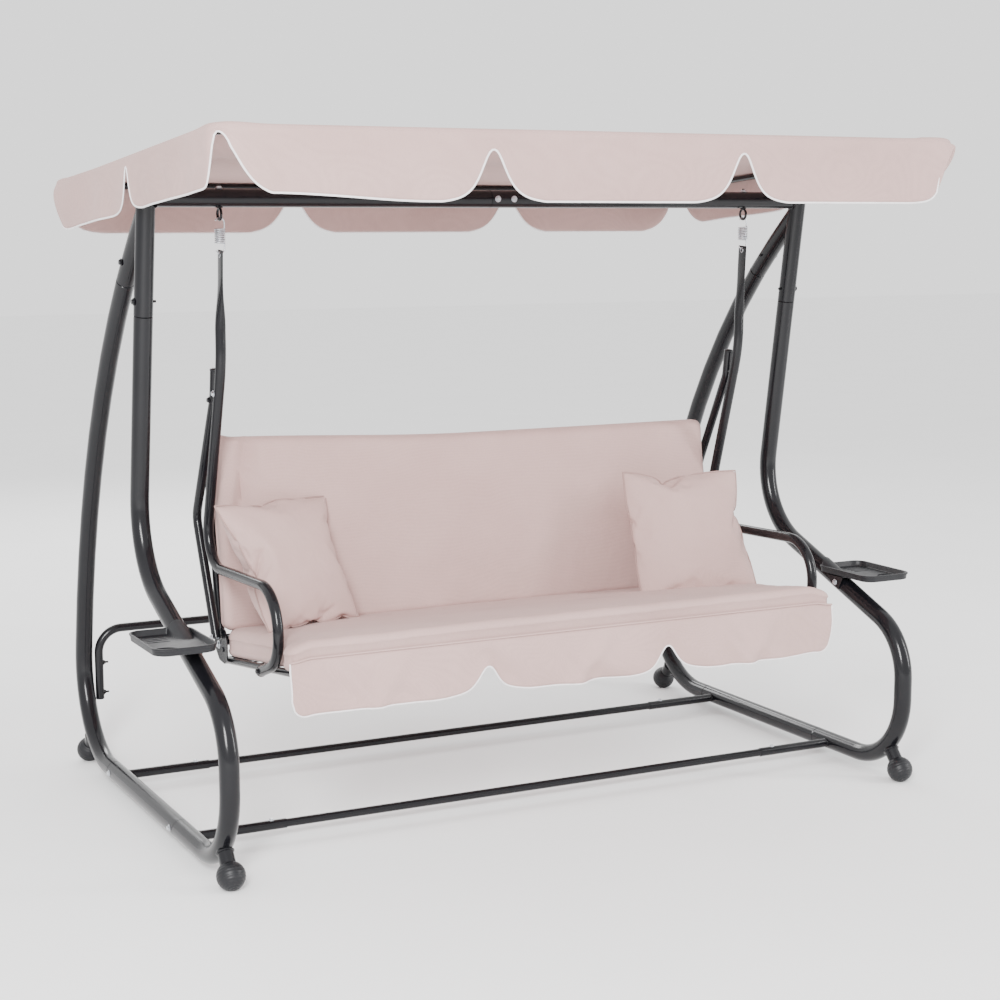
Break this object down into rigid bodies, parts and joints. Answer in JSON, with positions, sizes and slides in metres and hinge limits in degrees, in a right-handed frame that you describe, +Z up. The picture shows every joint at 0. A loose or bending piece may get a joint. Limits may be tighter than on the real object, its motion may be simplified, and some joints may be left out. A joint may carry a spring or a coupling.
{
  "type": "canopy swing bench",
  "caption": "Garden swing bench on bent tube side frames, with a tilting scalloped canopy, cushioned reclining seat, throw pillows and side trays.",
  "frame": {"origin": "centre of the bounding box in X and Y, on the ground under the feet", "axes": "+X along the bench to the sitter's left (right in a front view), +Y to the back, +Z up"},
  "size_m": [2.265, 1.4323, 1.8015],
  "materials": {
    "frame_steel": "glossy dark charcoal powder coat",
    "zinc": "bright zinc plate",
    "plastic": "satin dark grey moulding",
    "cloth": "plain woven polyester, dusty pink beige, paler piping"
  },
  "bodies": {
    "frame": {"left_front_leg": "frame_steel", "left_rear_leg": "frame_steel", "left_floor_tube": "frame_steel", "left_top_corner": "frame_steel", "left_eye_bolt": "frame_steel", "left_tray_bracket": "frame_steel", "left_front_foot": "plastic", "left_rear_foot": "plastic", "left_tray": "plastic", "right_front_leg": "frame_steel", "right_rear_leg": "frame_steel", "right_floor_tube": "frame_steel", "right_top_corner": "frame_steel", "right_eye_bolt": "frame_steel", "right_tray_bracket": "frame_steel", "right_front_foot": "plastic", "right_rear_foot": "plastic", "right_tray": "plastic", "beam_left_half": "frame_steel", "beam_right_half": "frame_steel", "front_spreader": "frame_steel", "rear_spreader": "frame_steel", "rear_brace": "frame_steel", "beam_bolt_1": "zinc", "beam_bolt_2": "zinc"},
    "canopy": {"left_canopy_rail": "frame_steel", "right_canopy_rail": "frame_steel", "canopy_front_bar": "frame_steel", "canopy_rear_bar": "frame_steel", "canopy_cover": "cloth"},
    "springs": {"left_spring": "zinc", "right_spring": "zinc"},
    "bench": {"left_hanger": "frame_steel", "left_stay": "frame_steel", "left_seat_bracket": "frame_steel", "left_seat_rail": "frame_steel", "right_hanger": "frame_steel", "right_stay": "frame_steel", "right_seat_bracket": "frame_steel", "right_seat_rail": "frame_steel", "seat_front_bar": "frame_steel", "seat_rear_bar": "frame_steel", "seat_mesh": "frame_steel", "seat_cushion": "cloth", "seat_skirt": "cloth"},
    "backrest": {"left_pillow": "cloth", "right_pillow": "cloth", "backrest_frame": "frame_steel", "backrest_mesh": "frame_steel", "back_cushion": "cloth"},
    "left_lock_knob": {"left_lock_knob": "plastic"},
    "right_lock_knob": {"right_lock_knob": "plastic"}
  },
  "joints": [
    {"name": "canopy_tilt", "type": "hinge", "parent": "frame", "child": "canopy", "pos_m": [0, -0.06715, 1.74], "axis": [1, 0, 0], "range_deg": [-15, 15]},
    {"name": "bench_swing", "type": "hinge", "parent": "frame", "child": "springs", "pos_m": [0, -0.06715, 1.5948], "axis": [1, 0, 0], "range_deg": [-20, 20]},
    {"name": "spring_stretch", "type": "slide", "parent": "springs", "child": "bench", "axis": [0, 0, -1], "range_m": [0, 0.03], "stiffness_N_per_m": 49000, "springref_m": -0.01, "deforming": ["left_spring", "right_spring"]},
    {"name": "backrest_recline", "type": "hinge", "parent": "bench", "child": "backrest", "pos_m": [0, 0.07385, 0.455], "axis": [-1, 0, 0], "range_deg": [0, 70]},
    {"name": "left_lock_turn", "type": "hinge", "parent": "bench", "child": "left_lock_knob", "pos_m": [-0.7575, 0.07385, 0.455], "axis": [1, 0, 0], "continuous": true},
    {"name": "right_lock_turn", "type": "hinge", "parent": "bench", "child": "right_lock_knob", "pos_m": [0.7575, 0.07385, 0.455], "axis": [1, 0, 0], "continuous": true}
  ]
}
